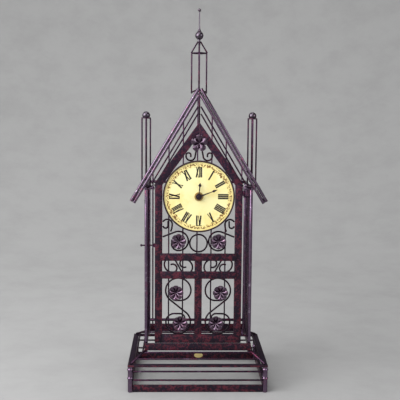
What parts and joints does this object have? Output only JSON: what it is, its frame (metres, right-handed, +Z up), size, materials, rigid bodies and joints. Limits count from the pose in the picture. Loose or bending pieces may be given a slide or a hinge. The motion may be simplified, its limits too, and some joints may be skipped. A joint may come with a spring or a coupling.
{
  "type": "steeple clock",
  "caption": "Open-work metal steeple clock: a rod cage on a stepped base, with a hinged scrollwork door that carries the dial, and turrets, a belfry and a finial.",
  "frame": {"origin": "on the floor under the middle of the base", "axes": "+Z up, the dial faces -Y, +X to the right as seen from the front"},
  "size_m": [0.3012, 0.2412, 0.8172],
  "materials": {
    "bar": "mottled wine-red over dark purple, semi-gloss",
    "rod": "dark purple with wine-red patches, semi-gloss",
    "turned": "dark purple with wine-red patches, semi-gloss",
    "scroll": "dark purple with wine-red patches, semi-gloss",
    "rosette": "pressed sheet, mottled purple, semi-gloss",
    "hardware": "dark purple, semi-gloss",
    "hoop": "near black, semi-gloss",
    "dial": "printed cream, satin",
    "brass": "satin brass",
    "hand": "black, satin",
    "case": "moulded black",
    "gear": "moulded white",
    "cell": "plain grey jacket, bare of print",
    "steel": "bright",
    "board": "green laminate"
  },
  "bodies": {
    "frame": {"base_bottom_bars": "bar", "base_corner_posts": "turned", "base_rail_rods": "rod", "base_top_bars": "bar", "deck_hip_rods": "rod", "deck_step_rods": "rod", "oval_plate": "brass", "tower_bottom_bars": "bar", "tower_corner_posts": "rod", "side_wall_rods": "rod", "back_wall_rods": "rod", "back_cross_rods": "rod", "front_rafters": "rod", "back_rafters": "rod", "roof_purlins": "rod", "king_rod": "rod", "gable_chevrons": "rod", "tower_top_rails": "rod", "turret_rods": "rod", "turret_plates": "bar", "turret_balls": "turned", "belfry_posts": "rod", "belfry_rings": "rod", "belfry_hip_rods": "rod", "finial": "turned", "hinge_pintles": "hardware"},
    "door": {"door_stiles": "bar", "door_gable_bars": "bar", "door_bottom_rail": "bar", "door_mullion": "bar", "door_crossbars": "bar", "hinge_knuckles": "hardware", "latch_eye": "hardware", "lower_scrolls": "scroll", "middle_scrolls": "scroll", "upper_scrolls": "scroll", "centre_ring": "scroll", "side_curls": "scroll", "gable_scrolls": "scroll", "door_rosettes": "rosette", "gable_flower": "rosette", "dial_ring": "hoop", "dial_plate": "dial", "movement_case": "case", "movement_cover": "case", "mounting_nut": "brass", "battery": "cell", "battery_contacts": "steel", "circuit_board": "board", "step_motor": "steel"},
    "latch": {"latch_pin": "turned"},
    "minute": {"minute_arbor": "brass", "minute_hand": "hand", "hand_nut": "hand"},
    "motion": {"motion_wheel": "gear", "setting_knob": "case"},
    "hour": {"hour_wheel": "gear", "hour_hand": "hand"}
  },
  "joints": [
    {"name": "door_swing", "type": "hinge", "parent": "frame", "child": "door", "pos_m": [0.09665, -0.0765, 0.27], "axis": [0, 0, 1], "range_deg": [0, 80]},
    {"name": "latch_slide", "type": "slide", "parent": "frame", "child": "latch", "axis": [1, 0, 0], "range_m": [0, 0.004]},
    {"name": "minute_turn", "type": "hinge", "parent": "door", "child": "minute", "pos_m": [0, -0.0775, 0.41725], "axis": [0, 1, 0], "continuous": true},
    {"name": "motion_turn", "type": "hinge", "parent": "door", "child": "motion", "pos_m": [0, -0.0775, 0.42725], "axis": [0, 1, 0], "continuous": true},
    {"name": "hour_turn", "type": "hinge", "parent": "door", "child": "hour", "pos_m": [0, -0.0775, 0.41725], "axis": [0, 1, 0], "continuous": true}
  ],
  "couplings": [
    {"joint": "motion_turn", "follows": "minute_turn", "ratio": -0.33333},
    {"joint": "hour_turn", "follows": "minute_turn", "ratio": 0.083333}
  ]
}
